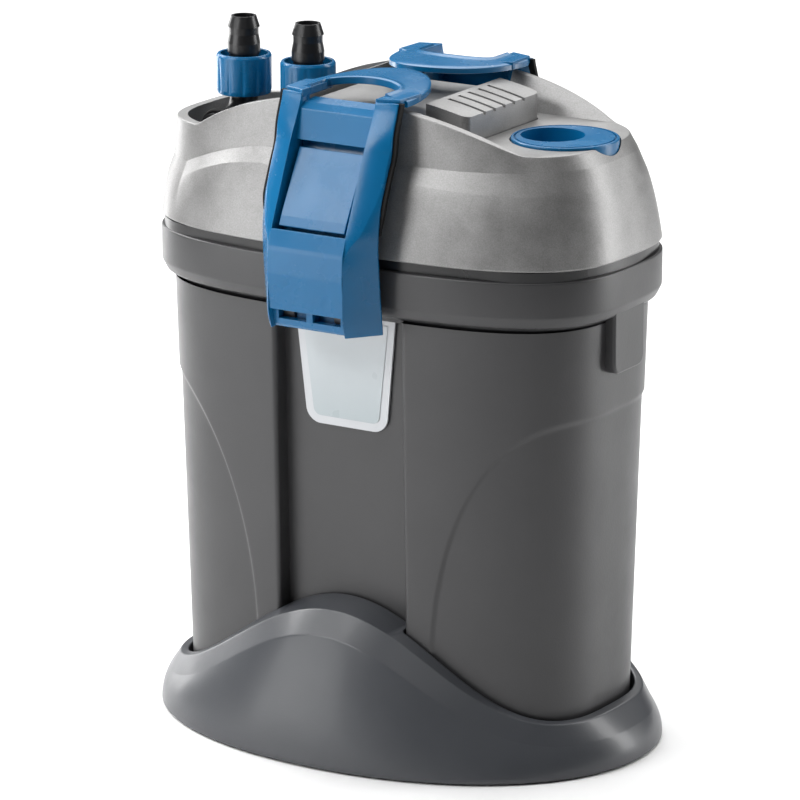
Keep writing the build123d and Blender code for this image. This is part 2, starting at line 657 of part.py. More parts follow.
def union_nut(x):
    nut = post(NUT_RADIUS, NUT_LOW, NUT_TOP, x)
    nut = chamfer(nut.edges().group_by(Axis.Z)[0], 1.0)
    for i in range(NUT_FLUTES):
        place = Pos(x, 0, 0) * Rot(0, 0, 360 / NUT_FLUTES * i)
        nut = nut - place * post(1.5, NUT_LOW - 1, NUT_TOP - 4, NUT_RADIUS + 0.6)
    nut = nut - post(FLANGE_RADIUS + 0.6, NUT_LOW - 1, NUT_TOP - 9, x)
    nut = nut - post(9.6, NUT_LOW, NUT_TOP + 1, x)
    return nut - post(FLANGE_RADIUS, NUT_TOP - 4, NUT_TOP + 1, x)


def hose_tail(x):
    """Stepped tail that a 16 mm hose pushes onto, with a straight land for its clamp."""
    low, high = TAIL_LAND
    tail = post(FLANGE_RADIUS, UNION_SEAT, UNION_SEAT + 4, x)
    tail = tail + post(TAIL_RADIUS, UNION_SEAT, TAIL_TOP - 6, x) + post(LAND_RADIUS, low, high, x)
    ridge = Pos(x, 0, high + 2.5) * Cone(LAND_RADIUS, TAIL_RADIUS, 5)
    tip = Pos(x, 0, TAIL_TOP - 3) * Cone(TAIL_RADIUS + 0.7, TAIL_RADIUS - 1.2, 6)
    return tail + ridge + tip - post(TAIL_BORE, UNION_SEAT - 1, TAIL_TOP + 1, x)


def elbow_seals():
    ring = Rot(90, 0, 0) * Torus(ELBOW_RADIUS + SEAL_WIRE + 0.05, SEAL_WIRE)
    rings = [Pos(x, SEAL_PLACE, ELBOW_HEIGHT) * ring for x in CONNECTOR_X.values()]
    return Compound(children=rings)


# ---- pump --------------------------------------------------------------------------
def motor_block():
    body = block((PUMP_X - 29, PUMP_X + 28), (-25, 25), (BAND_TOP, MOTOR_TOP))
    body = fillet(body.edges().filter_by(Axis.Z), 6)
    return body - post(ROTOR_RADIUS + 2.6, 270, 300, PUMP_X)


def rotor_shaft():
    return post(SHAFT_RADIUS, *SHAFT, PUMP_X)


def shaft_bushes():
    upper = tube(BUSH_RADIUS, SHAFT_RADIUS, SHAFT[1] - 4, SHAFT[1] + 2, PUMP_X)
    lower = tube(BUSH_RADIUS, SHAFT_RADIUS, SHAFT[0] - 1, SHAFT[0] + 2, PUMP_X)
    return Compound(children=[upper, lower])


def rotor_magnet():
    return tube(ROTOR_RADIUS, SHAFT_RADIUS + RUNNING, *MAGNET, PUMP_X)


def impeller():
    low, high = VANES
    hub = post(6, low - 1, high, PUMP_X) + post(IMPELLER_RADIUS - 3, high - 2, high, PUMP_X)
    for i in range(VANE_COUNT):
        vane = block((3, IMPELLER_RADIUS), (-0.9, 0.9), VANES)
        hub = hub + Pos(PUMP_X, 0, 0) * Rot(0, 0, 360 / VANE_COUNT * i) * vane
    return hub - post(SHAFT_RADIUS + RUNNING, 240, 280, PUMP_X)


def pump_volute():
    outer = IMPELLER_RADIUS + 2 * VOLUTE_WALL
    spigot_x = CONNECTOR_X["outlet"]
    body = post(outer, VOLUTE_LOW, CHASSIS_DECK, PUMP_X)
    body = body + lying(7.0, SPIGOT_Y - 4, -8, spigot_x, SPIGOT_Z)
    body = body + post(SPIGOT_BORE + 2, VOLUTE_LOW + 1, CHASSIS_DECK, spigot_x, SPIGOT_Y)
    body = body - lying(5.0, SPIGOT_Y, -8, spigot_x, SPIGOT_Z)
    body = body - post(SPIGOT_BORE, VOLUTE_LOW + 3, 270, spigot_x, SPIGOT_Y)
    return body - post(IMPELLER_RADIUS + VOLUTE_WALL, VOLUTE_LOW - 1, 270, PUMP_X)


def volute_cover():
    low = VOLUTE_LOW - 3
    cover = post(IMPELLER_RADIUS + 2 * VOLUTE_WALL, low, VOLUTE_LOW, PUMP_X) - post(10, 240, 255, PUMP_X)
    for angle in (0, 60, 120):
        spoke = Pos(PUMP_X, 0, 0) * Rot(0, 0, angle) * block((-12, 12), (-1, 1), (low, low + 2.5))
        cover = cover + spoke
    cover = cover + post(5, low - 0.5, VOLUTE_LOW, PUMP_X)
    return cover - post(BUSH_RADIUS, SHAFT[0] - 1, 260, PUMP_X)


# ---- baskets and media -------------------------------------------------------------
def basket_form(low, high, inset):
    body = tower((BASKET, low), (BASKET, high), grow=-inset)
    return body & block((BASKET_X[0] + inset, BASKET_X[1] - inset), (-90, 90), (low - 1, high + 1))


def slots(y_inner, y_outer, half, z):
    """Row of water slots along each side of a basket."""
    cuts = []
    for i in range(SLOT_COUNT):
        x = BASKET_X[0] + 15 + SLOT_PITCH * i
        cuts.append(block((x - half, x + half), (y_inner, y_outer), z))
        cuts.append(block((x - half, x + half), (-y_outer, -y_inner), z))
    return cuts


def basket(level):
    low = BASKET_LOWS[level]
    top = low + BASKET_HEIGHT
    body = basket_form(low, top, 0) - basket_form(low + BASKET_FLOOR, top + 1, BASKET_WALL)
    for cut in slots(4, 40, 4, (low - 1, low + 4)):
        body = body - cut
    return body


def foam(level, bottom, top):
    """Foam pad that fills a basket between two heights above its floor."""
    low = BASKET_LOWS[level]
    return basket_form(low + bottom, low + top, 3.0)


def bio_media():
    """Ceramic rings standing in rows in the upper basket."""
    outer, bore, length = RING
    rings = []
    for row in range(2):
        low = BASKET_LOWS["upper"] + BASKET_FLOOR + 0.2 + RING_LAYER * row
        for i in range(6):
            for j in range(4):
                rings.append(tube(outer, bore, low, low + length, -66 + 25 * i, -33 + 22 * j))
    return Compound(children=rings)


def top_screen():
    """Perforated plate that closes the top basket."""
    plate = basket_form(*SCREEN, 0)
    for cut in slots(3, 42, 5, (SCREEN[0] - 5, SCREEN[1] + 2)):
        plate = plate - cut
    return plate


def intake_riser():
    pipe = tube(RISER_RADIUS, RISER_RADIUS - RISER_WALL, 26, CHASSIS_DECK, *RISER_SPOT)
    for angle in (0, 90):
        gap = Pos(RISER_SPOT[0], RISER_SPOT[1], 0) * Rot(0, 0, angle) * block((-12, 12), (-3, 3), (24, 38))
        pipe = pipe - gap
    return pipe


# ---- write every part --------------------------------------------------------------
def mirrored(shape):
    """The rear twin of a front part."""
    return mirror(shape, about=Plane.XZ)


def all_parts():
    frame = latch_frame()
    plate = latch_plate()
    pin = latch_pin()
    parts = {
        "base_stand": base_stand(),
        "rubber_feet": rubber_feet(),
        "canister": canister(),
        "label_plate": label_plate(),
        "label_inlay": label_inlay(),
        "rim_gasket": rim_gasket(),
        "head_chassis": head_chassis(),
        "head_cover": head_cover(),
        "cover_screws": cover_screws(),
        "cable_gland": cable_gland(),
        "front_latch_frame": frame,
        "front_latch_plate": plate,
        "front_latch_pin": pin,
        "rear_latch_frame": mirrored(frame),
        "rear_latch_plate": mirrored(plate),
        "rear_latch_pin": mirrored(pin),
        "priming_button": priming_button(),
        "priming_cylinder": priming_cylinder(),
        "priming_piston": priming_piston(),
        "piston_seal": piston_seal(),
        "priming_spring": priming_spring(),
        "heater_well_cap": heater_well_cap(),
        "cap_seal": cap_seal(),
        "heater_well": heater_well(),
        "connector_block": connector_block(),
        "elbow_seals": elbow_seals(),
        "motor_block": motor_block(),
        "rotor_shaft": rotor_shaft(),
        "shaft_bushes": shaft_bushes(),
        "rotor_magnet": rotor_magnet(),
        "impeller": impeller(),
        "pump_volute": pump_volute(),
        "volute_cover": volute_cover(),
        "coarse_foam": foam("lower", 2.7, 62),
        "fine_foam": foam("middle", 2.7, 62),
        "bio_media": bio_media(),
        "top_screen": top_screen(),
        "intake_riser": intake_riser(),
    }
    for level in BASKET_LOWS:
        parts[level + "_basket"] = basket(level)
    for name, x in CONNECTOR_X.items():
        parts[name + "_elbow"] = elbow(x)
        parts[name + "_union_nut"] = union_nut(x)
        parts[name + "_hose_tail"] = hose_tail(x)
    return parts


os.makedirs("parts", exist_ok=True)
for node, shape in all_parts().items():
    export_step(shape, f"parts/{node}.step")
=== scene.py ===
"""Looks of the canister filter: camera, studio, materials and the finely shaped shells. Metres."""
import json
import math
import bpy
import bmesh
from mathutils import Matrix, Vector


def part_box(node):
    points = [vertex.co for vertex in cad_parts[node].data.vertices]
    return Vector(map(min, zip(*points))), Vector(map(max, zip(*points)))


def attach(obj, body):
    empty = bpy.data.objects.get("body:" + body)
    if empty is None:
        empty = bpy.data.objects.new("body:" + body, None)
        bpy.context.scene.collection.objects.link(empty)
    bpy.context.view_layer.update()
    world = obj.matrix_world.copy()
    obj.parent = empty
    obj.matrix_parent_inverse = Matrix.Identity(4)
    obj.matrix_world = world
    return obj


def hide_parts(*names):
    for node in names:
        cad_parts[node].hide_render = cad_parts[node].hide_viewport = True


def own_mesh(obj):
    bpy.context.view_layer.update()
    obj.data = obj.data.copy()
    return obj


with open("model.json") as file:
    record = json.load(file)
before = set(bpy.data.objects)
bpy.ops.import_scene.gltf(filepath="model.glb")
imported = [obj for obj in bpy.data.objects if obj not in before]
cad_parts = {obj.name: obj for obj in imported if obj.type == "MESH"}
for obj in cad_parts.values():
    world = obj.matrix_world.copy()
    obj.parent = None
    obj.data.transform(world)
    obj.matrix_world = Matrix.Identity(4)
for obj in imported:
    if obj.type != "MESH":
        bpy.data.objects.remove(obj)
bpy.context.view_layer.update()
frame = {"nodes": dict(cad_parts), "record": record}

MM = 0.001

# ---- sizes in millimetres: the housing's outline is a superellipse given by two half sizes ----
SQUARENESS = 3.16             # its exponent

# stand
STAND_FOOT = (145.0, 106.0)
STAND_CREASE = (140.0, 88.5)
STAND_LIP = (131.0, 78.0)
STAND_RIM = (126.2, 70.8)
WAVE_SPAN = 260.0             # length over which the stand's edge rises and falls again
SKIRT_SWELL = 0.03            # how far the skirt bulges, as a share of its size
STAND_FLOOR = 16.0
STAND_UNDERSIDE = 9.0
CUP_GAP = 1.0                 # between the stand's cup and the canister

# canister
CANISTER_LOW = (123.9, 68.4, 15.0)      # half length, half depth and height of its lowest section
CANISTER_HIGH = (130.0, 74.0, 245.0)
CANISTER_TOP = 242.4
PANEL_HALF = 39.0
PANEL_DEPTH = 10.0
PANEL_CORNER = 2.4
LOBE_REACH = 70.0             # how far a lobe's moulded step runs in from the end
LOBE_STRAIGHT = 60.0          # the step's edge is upright below this height
LOBE_RISE = 132.0
LOBE_DEPTH = 1.1
COLLAR = (137.0, 79.0)
COLLAR_TOP = 270.7
TAB_HALF = 16.0
TAB_LOW = 214.0
TAB_HIGH = 252.0
TAB_FACE = 135.0
TAB_CORNER = 7.0
HINGE_Y = -90.0
HINGE_Z = 246.0
LUG_RADIUS = 5.5
LUG_WIDTH = 7.0
LUG_SPOTS = (12.0, -19.0)

# head: half length at -X, half length at +X and half depth, from the parting line to the rim
HEAD_LEVELS = ((137.0, 137.0, 78.0), (137.0, 134.4, 73.8), (136.4, 130.0, 68.0), (134.2, 125.6, 63.0),
               (133.0, 121.0, 61.0))
HEAD_FOOT = (136.2, 77.2)
BAND_TOP = 276.0
DECK_Z = 333.0                # floor of the channel along the top
CHANNEL_LOW = 48.0            # its half width at the floor, and higher up
CHANNEL_HIGH = 59.0
CHANNEL_TOP = 358.0
POCKET_WALL = (127.5, 56.5)   # connector pocket at the -X end
POCKET_Z = 300.0
POCKET_END = -46.0
NOTCH_HALF = 30.0             # half width of the gap that each latch lies in
NOTCH_OUTLINE = ((110, 313), (63.5, 313), (57, 335), (52, 343), (43, 343), (43, 362), (110, 362))
BUTTON_HOLE = (-38.8, 58.8, -38.8, 38.8)
BUTTON_CORNER = 5.8
SEAT_X = 95.0                 # round seat of the cap
SEAT_RADIUS = 29.2
SEAT_Z = 316.0
ABOVE = 380.0                 # higher than anything that is cut

# spring and unions
SPRING_TURNS = 6
SPRING_WIRE = 0.8             # radius of the wire
UNION_X = {"inlet": -105.0, "outlet": -64.0}
NUT_GRIPS = 12

# front latch: smooth-cornered lines up the right rail, as (y, z) and for the crease (x, z)
RAIL_INNER = 22.5
RAIL_OUTER = 35.4
RAIL_FRONT = ((-100.5, 236), (-104.5, 246), (-104.5, 277), (-101.0, 291), (-82.0, 335), (-76.5, 345),
              (-71.0, 356))
RAIL_EDGE = ((-85.0, 238), (-88.0, 262), (-89.8, 283), (-89.4, 292), (-87.2, 306), (-80.9, 321),
             (-76.4, 330), (-74.7, 342), (-69.0, 357))
RAIL_BACK = ((-80.0, 238), (-81.0, 262), (-83.0, 292), (-80.0, 306), (-73.5, 321), (-69.0, 330),
             (-66.0, 342), (-63.5, 351), (-62.5, 357))
RAIL_CREASE = ((23.1, 280), (24.5, 285), (29.2, 292), (32.0, 302), (34.4, 313), (35.0, 320))
RAIL_LOW = 238.0
RAIL_RISE = 119.4
SHOULDER = ((22.2, -70.6), (35.0, -66.6), (35.8, -46.7), (22.2, -40.6))
SHOULDER_HEIGHTS = (354.9, 359.2)
PLATE_REACH = 23.1            # the plates between the rails run a little way into them
INSERT_REACH = 20.2
GRIP_OUTER = (36.6, 58.0)     # half width and reach of the finger grip's outer edge
GRIP_INNER = (22.8, 13.0)     # the same for the arched part of its inner edge
GRIP_ROOT = -62.0
GRIP_BEND = -50.0             # where the inner edge turns from straight to arched
GRIP_STRAIGHT = 0.3           # sine of the angle up to which it is straight

# camera, in metres and degrees, with its sensor and lens in millimetres
CAMERA_TARGET = (-0.00448, -0.00275, 0.17797)
CAMERA_AZIMUTH = 31.57
CAMERA_ELEVATION = 15.50
CAMERA_DISTANCE = 2.7877
SENSOR = 36.0
LENS = 232.785


# ---- mesh helpers --------------------------------------------------------------------
def new_piece(name, vertices, faces, body, slot, smooth=True):
    """Mesh object from millimetre vertices, riding on a body, in a slot's material."""
    mesh = bpy.data.meshes.new(name)
    mesh.from_pydata([[c * MM for c in v] for v in vertices], [], faces)
    mesh.validate()
    for polygon in mesh.polygons:
        polygon.use_smooth = smooth
    piece = bpy.data.objects.new(name, mesh)
    bpy.context.scene.collection.objects.link(piece)
    mesh.materials.append(MATERIALS[slot])
    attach(piece, body)
    return piece


def grid_faces(columns, rows):
    """Quads between closed rings of vertices, with the rings one after another."""
    faces = []
    for row in range(rows - 1):
        for column in range(columns):
            right = (column + 1) % columns
            low = row * columns
            high = low + columns
            faces.append((low + column, low + right, high + right, high + column))
    return faces


def closed_faces(columns, rows):
    """The same with the first and the last ring filled in."""
    last = (rows - 1) * columns
    return grid_faces(columns, rows) + [tuple(reversed(range(columns))), tuple(range(last, last + columns))]


def fan(columns, ring, centre):
    """Triangles from a ring to a vertex; faces look back along the order of the rings."""
    first = ring * columns
    return [(first + (i + 1) % columns, first + i, centre) for i in range(columns)]


def smooth_step(low, high, value):
    """0 before low, 1 after high, and a smooth rise between them."""
    share = min(1.0, max(0.0, (value - low) / (high - low)))
    return share * share * (3 - 2 * share)


def mix(a, b, share):
    """Value a share of the way from a to b."""
    return a + (b - a) * share


def superellipse(half_x, half_y, angle, power):
    """Point of a rounded outline; angle runs round from +X."""
    c = math.cos(angle)
    s = math.sin(angle)
    x = half_x * math.copysign(abs(c) ** (2 / power), c)
    y = half_y * math.copysign(abs(s) ** (2 / power), s)
    return x, y


def half_depth(half_x, half_y, x):
    """Half depth of the housing's outline at a place along its length."""
    share = min(1.0, abs(x) / half_x)
    return half_y * (1 - share ** SQUARENESS) ** (1 / SQUARENESS)


def round_profile(points, radii, steps=5):
    """Polyline with each inner corner replaced by an arc."""
    out = [points[0]]
    for before, corner, after, radius in zip(points, points[1:], points[2:], radii):
        a = Vector(before) - Vector(corner)
        b = Vector(after) - Vector(corner)
        turn = a.angle(b)
        if radius <= 0 or turn > math.pi - 0.02:
            out.append(corner)
            continue
        cut = min(radius / math.tan(turn / 2), 0.48 * a.length, 0.48 * b.length)
        first = Vector(corner) + a.normalized() * cut
        last = Vector(corner) + b.normalized() * cut
        for i in range(steps + 1):
            t = i / steps
            middle = first.lerp(Vector(corner), t).lerp(Vector(corner).lerp(last, t), t)
            out.append(tuple(middle))
    out.append(points[-1])
    return out


def bevel(piece, width, segments=3, angle=28):
    """Rounds a piece's own sharp edges and applies the change to its mesh."""
    change = piece.modifiers.new("round_edges", "BEVEL")
    change.width = width * MM
    change.segments = segments
    change.limit_method = "ANGLE"
    change.angle_limit = math.radians(angle)
    change.harden_normals = True
    change.miter_outer = "MITER_ARC"
    bake_modifiers(piece)


def bake_modifiers(piece):
    """Applies every modifier to the mesh."""
    depsgraph = bpy.context.evaluated_depsgraph_get()
    mesh = bpy.data.meshes.new_from_object(piece.evaluated_get(depsgraph))
    piece.modifiers.clear()
    piece.data = mesh


def shade_by_angle(piece, degrees):
    """Smooth shading that keeps edges sharper than an angle."""
    mesh = piece.data
    shape = bmesh.new()
    shape.from_mesh(mesh)
    for edge in shape.edges:
        edge.smooth = len(edge.link_faces) == 2 and edge.calc_face_angle(0) < math.radians(degrees)
    for face in shape.faces:
        face.smooth = True
    shape.to_mesh(mesh)
    shape.free()


def fix_normals(piece):
    """Turns every face outwards."""
    shape = bmesh.new()
    shape.from_mesh(piece.data)
    bmesh.ops.recalc_face_normals(shape, faces=shape.faces)
    shape.to_mesh(piece.data)
    shape.free()


# ---- materials -----------------------------------------------------------------------
class Nodes:
    """A material's node tree with short ways to add and join nodes."""

    def __init__(self, name):
        self.material = bpy.data.materials.new(name)
        self.material.use_nodes = True
        self.tree = self.material.node_tree
        self.shader = self.tree.nodes["Principled BSDF"]
        self.place = self.tree.nodes.new("ShaderNodeTexCoord").outputs["Object"]

    def add(self, kind, **settings):
        """New node with some of its settings."""
        node = self.tree.nodes.new(kind)
        for name, value in settings.items():
            setattr(node, name, value)
        return node

    def join(self, source, target):
        """Link from an output to an input."""
        self.tree.links.new(source, target)

    def noise(self, scale, detail=3.0, rough=0.55, stretch=None):
        """Noise over the object's own coordinates."""
        node = self.add("ShaderNodeTexNoise")
        node.inputs["Scale"].default_value = scale
        node.inputs["Detail"].default_value = detail
        node.inputs["Roughness"].default_value = rough
        place = self.place
        if stretch:
            turn = self.add("ShaderNodeMapping")
            turn.inputs["Scale"].default_value = stretch
            self.join(place, turn.inputs["Vector"])
            place = turn.outputs["Vector"]
        self.join(place, node.inputs["Vector"])
        return node.outputs["Fac"]

    def span(self, value, low, high, from_low=0.3, from_high=0.7):
        """A value's range mapped to another range."""
        node = self.add("ShaderNodeMapRange")
        node.inputs["From Min"].default_value = from_low
        node.inputs["From Max"].default_value = from_high
        node.inputs["To Min"].default_value = low
        node.inputs["To Max"].default_value = high
        self.join(value, node.inputs["Value"])
        return node.outputs["Result"]

    def ramp(self, value, stops):
        """Colour from a value and (place, colour) stops."""
        node = self.add("ShaderNodeValToRGB")
        for i, (place, colour) in enumerate(stops):
            stop = node.color_ramp.elements[i] if i < 2 else node.color_ramp.elements.new(place)
            stop.position = place
            stop.color = (*colour, 1)
        self.join(value, node.inputs["Fac"])
        return node.outputs["Color"]

    def bump(self, *layers):
        """Stacks bump layers, each a height and its depth in metres."""
        normal = None
        for height, depth in layers:
            node = self.add("ShaderNodeBump")
            node.inputs["Strength"].default_value = 1.0
            node.inputs["Distance"].default_value = depth
            self.join(height, node.inputs["Height"])
            if normal:
                self.join(normal, node.inputs["Normal"])
            normal = node.outputs["Normal"]
        self.join(normal, self.shader.inputs["Normal"])


def shades(colour, spread):
    """A darker and a lighter shade of a colour."""
    dark = tuple(c * (1 - spread) for c in colour)
    light = tuple(min(1.0, c * (1 + spread)) for c in colour)
    return dark, light


def moulded(name, colour, rough, grain=900, depth=0.00004, spread=0.06, metallic=0.0, coat=0.0,
            specular=0.5):
    """Moulded plastic: fine spark-eroded grain, slightly uneven gloss and colour."""
    n = Nodes(name)
    dark, light = shades(colour, spread)
    cloud = n.noise(14, detail=4)
    n.join(n.ramp(cloud, [(0.3, dark), (0.7, light)]), n.shader.inputs["Base Color"])
    smear = n.noise(38, detail=5, rough=0.6)
    n.join(n.span(smear, rough - 0.04, rough + 0.05), n.shader.inputs["Roughness"])
    n.shader.inputs["Metallic"].default_value = metallic
    n.shader.inputs["Coat Weight"].default_value = coat
    n.shader.inputs["Coat Roughness"].default_value = 0.12
    n.shader.inputs["Specular IOR Level"].default_value = specular
    n.bump((n.noise(grain, detail=2), depth), (n.noise(60, detail=2), depth * 1.5))
    return n.material


def lacquer():
    """Grey metallic lacquer of the pump head: mottled flakes under a satin top coat."""
    n = Nodes("head_lacquer")
    flake = n.noise(1500, detail=2, rough=0.7)
    cloud = n.noise(55, detail=6, rough=0.65)
    blend = n.add("ShaderNodeMix", data_type="FLOAT")
    blend.inputs["Factor"].default_value = 0.45
    n.join(flake, blend.inputs["A"])
    n.join(cloud, blend.inputs["B"])
    stops = [(0.36, (0.200, 0.198, 0.196)), (0.64, (0.300, 0.298, 0.296))]
    n.join(n.ramp(blend.outputs["Result"], stops), n.shader.inputs["Base Color"])
    n.join(n.span(cloud, 0.36, 0.46), n.shader.inputs["Roughness"])
    n.shader.inputs["Metallic"].default_value = 0.55
    n.bump((flake, 0.00003), (n.noise(320, detail=3), 0.00006))
    return n.material


def gloss_blue():
    """Saturated blue gloss of the latches, nuts and cap."""
    n = Nodes("gloss_blue")
    cloud = n.noise(20, detail=3)
    tone = n.ramp(cloud, [(0.3, (0.001, 0.100, 0.240)), (0.7, (0.002, 0.118, 0.280))])
    n.join(tone, n.shader.inputs["Base Color"])
    n.join(n.span(n.noise(45, detail=4), 0.22, 0.30), n.shader.inputs["Roughness"])
    n.shader.inputs["Specular IOR Level"].default_value = 0.38
    n.bump((n.noise(420, detail=2), 0.000015), (n.noise(30, detail=1), 0.00006))
    return n.material


def foam_material(name, colour, cell):
    """Open-cell foam: pits from a cell pattern."""
    n = Nodes(name)
    cells = n.add("ShaderNodeTexVoronoi")
    cells.inputs["Scale"].default_value = cell
    n.join(n.place, cells.inputs["Vector"])
    dark, light = shades(colour, 0.5)
    n.join(n.ramp(cells.outputs["Distance"], [(0.1, light), (0.6, dark)]), n.shader.inputs["Base Color"])
    n.shader.inputs["Roughness"].default_value = 0.95
    n.bump((cells.outputs["Distance"], 0.0006))
    return n.material


def steel_material():
    """Drawn steel with fine lines along the part."""
    n = Nodes("steel")
    lines = n.noise(600, detail=3, stretch=(0.05, 1.0, 1.0))
    stops = [(0.3, (0.42, 0.42, 0.43)), (0.7, (0.62, 0.62, 0.63))]
    n.join(n.ramp(lines, stops), n.shader.inputs["Base Color"])
    n.join(n.span(lines, 0.24, 0.38), n.shader.inputs["Roughness"])
    n.shader.inputs["Metallic"].default_value = 1.0
    n.bump((lines, 0.00001))
    return n.material


def label_print():
    """Printed label face: pale grey that fades upwards to a lighter tone, under a clear film."""
    n = Nodes("label_face")
    axes = n.add("ShaderNodeSeparateXYZ")
    n.join(n.place, axes.inputs["Vector"])
    low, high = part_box("label_inlay")
    fade = n.span(axes.outputs["Z"], 0.0, 1.0, low.z, high.z)
    stops = [(0.0, (0.40, 0.45, 0.47)), (1.0, (0.56, 0.59, 0.61))]
    n.join(n.ramp(fade, stops), n.shader.inputs["Base Color"])
    n.join(n.span(n.noise(80), 0.26, 0.34), n.shader.inputs["Roughness"])
    n.bump((n.noise(700), 0.00001))
    return n.material


MATERIALS = {
    "stand_plastic": moulded("stand_plastic", (0.048, 0.051, 0.058), 0.36, coat=0.1),
    "canister_plastic": moulded("canister_plastic", (0.036, 0.0357, 0.0375), 0.39, depth=0.00005),
    "head_plastic": lacquer(),
    "black_plastic": moulded("black_plastic", (0.010, 0.010, 0.011), 0.30, grain=500, depth=0.00002),
    "blue_plastic": gloss_blue(),
    "label_border": moulded("label_border", (0.55, 0.565, 0.585), 0.32, depth=0.00001, spread=0.02),
    "label_face": label_print(),
    # rubber also colours the latches' dark edge strips, which are painted shadow
    "rubber": moulded("rubber", (0.007, 0.007, 0.007), 0.8, grain=700, depth=0.00006, specular=0.25),
    "steel": steel_material(),
    "resin": moulded("resin", (0.015, 0.015, 0.017), 0.5),
    "ceramic": moulded("ceramic", (0.62, 0.55, 0.44), 0.85, grain=1200, depth=0.0001, spread=0.12),
    "magnet": moulded("magnet", (0.03, 0.03, 0.032), 0.45, metallic=0.6),
    "white_plastic": moulded("white_plastic", (0.72, 0.72, 0.70), 0.38),
    "basket_plastic": moulded("basket_plastic", (0.11, 0.115, 0.12), 0.45),
    "blue_foam": foam_material("blue_foam", (0.03, 0.14, 0.36), 420),
    "black_foam": foam_material("black_foam", (0.03, 0.03, 0.03), 800),
}
SLOTS = {part["node"]: part["material_slot"] for part in frame["record"]["subparts"]}


def paint_cad_nodes():
    """Gives every carried-over node its slot's material."""
    for node, piece in frame["nodes"].items():
        piece.data.materials.clear()
        piece.data.materials.append(MATERIALS[SLOTS[node]])


# ---- stand ---------------------------------------------------------------------------
def wave(x, low, rise):
    """Height of the stand's wavy edge at a place along its length."""
    bound = min(abs(x), WAVE_SPAN / 2)
    return low + rise * math.cos(math.pi * bound / WAVE_SPAN) ** 2


def canister_size(z):
    """Half length and half depth of the canister at a height."""
    share = (z - CANISTER_LOW[2]) / (CANISTER_HIGH[2] - CANISTER_LOW[2])
    return mix(CANISTER_LOW[0], CANISTER_HIGH[0], share), mix(CANISTER_LOW[1], CANISTER_HIGH[1], share)


def cup_wall(angle, x, z):
    """Plan position of the stand's cup, a gap away from the canister and its recessed panels."""
    half_x, half_y = canister_size(z)
    wall_x, wall_y = superellipse(half_x + CUP_GAP, half_y + CUP_GAP, angle, SQUARENESS)
    edge = PANEL_HALF - CUP_GAP
    recess = PANEL_DEPTH * (1 - smooth_step(edge - 0.9, edge + 0.9, abs(x)))
    recess *= smooth_step(0.3, 0.8, abs(math.sin(angle)))
    return wall_x, wall_y - math.copysign(recess, wall_y)


def stand_column(angle):
    """Section of the stand at one angle: underside, skirt, crease, bevel, lip, rim, inner wall."""
    foot = superellipse(*STAND_FOOT, angle, 2.09)
    crease = superellipse(*STAND_CREASE, angle, 2.35)
    lip = superellipse(*STAND_LIP, angle, 2.8)
    rim = superellipse(*STAND_RIM, angle, SQUARENESS)
    crease_z = wave(crease[0], 17.5, 51)
    lip_z = wave(lip[0], 27.5, 53)
    rim_z = wave(rim[0], 28, 57)
    inner = cup_wall(angle, rim[0], rim_z)
    points = [(foot[0] * 0.965, foot[1] * 0.965, STAND_UNDERSIDE), (foot[0] * 0.978, foot[1] * 0.978, 1.2),
              (*foot, 1.0), (*foot, 3.0)]
    for i in range(1, 8):
        share = i / 8
        swell = 1 + SKIRT_SWELL * 4 * share * (1 - share) * crease_z / 68.5
        points.append((mix(foot[0], crease[0], share) * swell, mix(foot[1], crease[1], share) * swell,
                       mix(3.0, crease_z, share)))
    points += [(*crease, crease_z), (*lip, lip_z), (*inner, rim_z), (*inner, rim_z - 6),
               (inner[0] * 0.985, inner[1] * 0.985, STAND_FLOOR)]
    return round_profile(points, [1, 1.5, 4] + [0] * 7 + [3.0, 2.4, 1.2, 0], steps=6)


def build_stand():
    """Stand with a wavy rim, a cup for the canister and a closed underside."""
    count = 900
    columns = [stand_column(2 * math.pi * i / count) for i in range(count)]
    rows = len(columns[0])
    vertices = [columns[i][row] for row in range(rows) for i in range(count)]
    centre = len(vertices)
    vertices += [(0, 0, STAND_UNDERSIDE), (0, 0, STAND_FLOOR)]
    # one plate closes the underside, and one is the floor of the cup
    faces = grid_faces(count, rows) + fan(count, 0, centre)
    faces += [face[::-1] for face in fan(count, rows - 1, centre + 1)]
    piece = new_piece("base_stand_shell", vertices, faces, "filter", "stand_plastic")
    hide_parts("base_stand")
    shade_by_angle(piece, 50)


# ---- canister ------------------------------------------------------------------------
def lobe_step(x, z, half_x):
    """1 inside the shallow moulded step on each lobe and 0 outside its curved edge."""
    across = (half_x - abs(x)) / LOBE_REACH
    up = max(0.0, z - LOBE_STRAIGHT) / LOBE_RISE
    return smooth_step(1.03, 0.97, across ** 2 + up ** 2)


def lobe_path(half_x, half_y, steps):
    """Right half outline from the front panel's edge round the end to the rear panel's edge."""
    points = []
    edge_y = half_depth(half_x, half_y, PANEL_HALF)
    start_x = PANEL_HALF + PANEL_CORNER
    start_y = half_depth(half_x, half_y, start_x)
    for i in range(5):
        points.append((PANEL_HALF, -edge_y + PANEL_DEPTH - (PANEL_DEPTH - PANEL_CORNER) * i / 5))
    for i in range(6):
        turn = math.pi / 2 * i / 6
        points.append((PANEL_HALF + PANEL_CORNER * (1 - math.cos(turn)),
                       -start_y + PANEL_CORNER * (1 - math.sin(turn))))
    wall = [(x, -y) for x, y in reversed(points)]
    start = math.atan2((start_y / half_y) ** (SQUARENESS / 2), (start_x / half_x) ** (SQUARENESS / 2))
    for i in range(steps + 1):
        angle = -start + 2 * start * i / steps
        points.append(superellipse(half_x, half_y, angle, SQUARENESS))
    return points + wall


